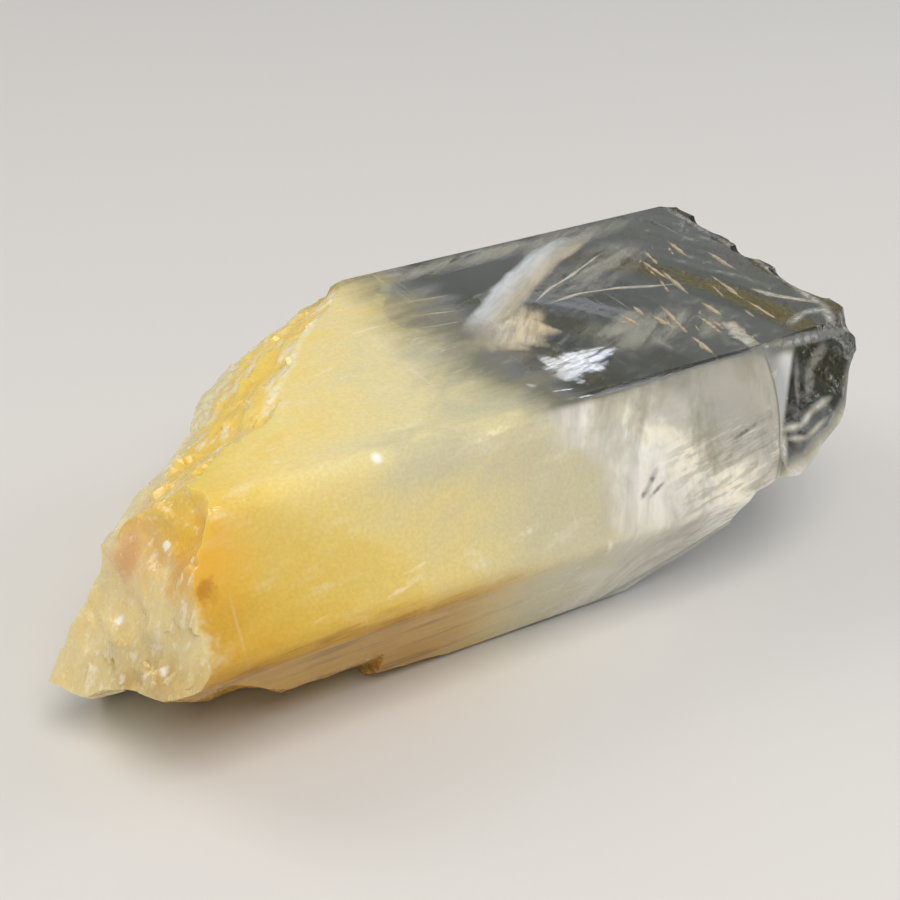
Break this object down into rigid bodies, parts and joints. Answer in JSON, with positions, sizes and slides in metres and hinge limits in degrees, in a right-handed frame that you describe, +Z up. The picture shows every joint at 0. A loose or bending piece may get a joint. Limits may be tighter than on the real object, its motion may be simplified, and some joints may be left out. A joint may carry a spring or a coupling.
{
  "type": "mango quartz crystal",
  "caption": "Broken, flattened quartz prism lying on a wide face, milky mango yellow at one end and clear at the other.",
  "frame": {"origin": "middle of the crystal's outline, on the surface that it rests on", "axes": "+X along the crystal's long axis, towards the clear broken end; +Z up, out of the wide upper face"},
  "size_m": [0.0588, 0.0344, 0.0164],
  "materials": {
    "mango_quartz": "glossy crystal faces, milky yellow to clear"
  },
  "bodies": {
    "root": {"mango_quartz_crystal": "mango_quartz"}
  },
  "joints": []
}
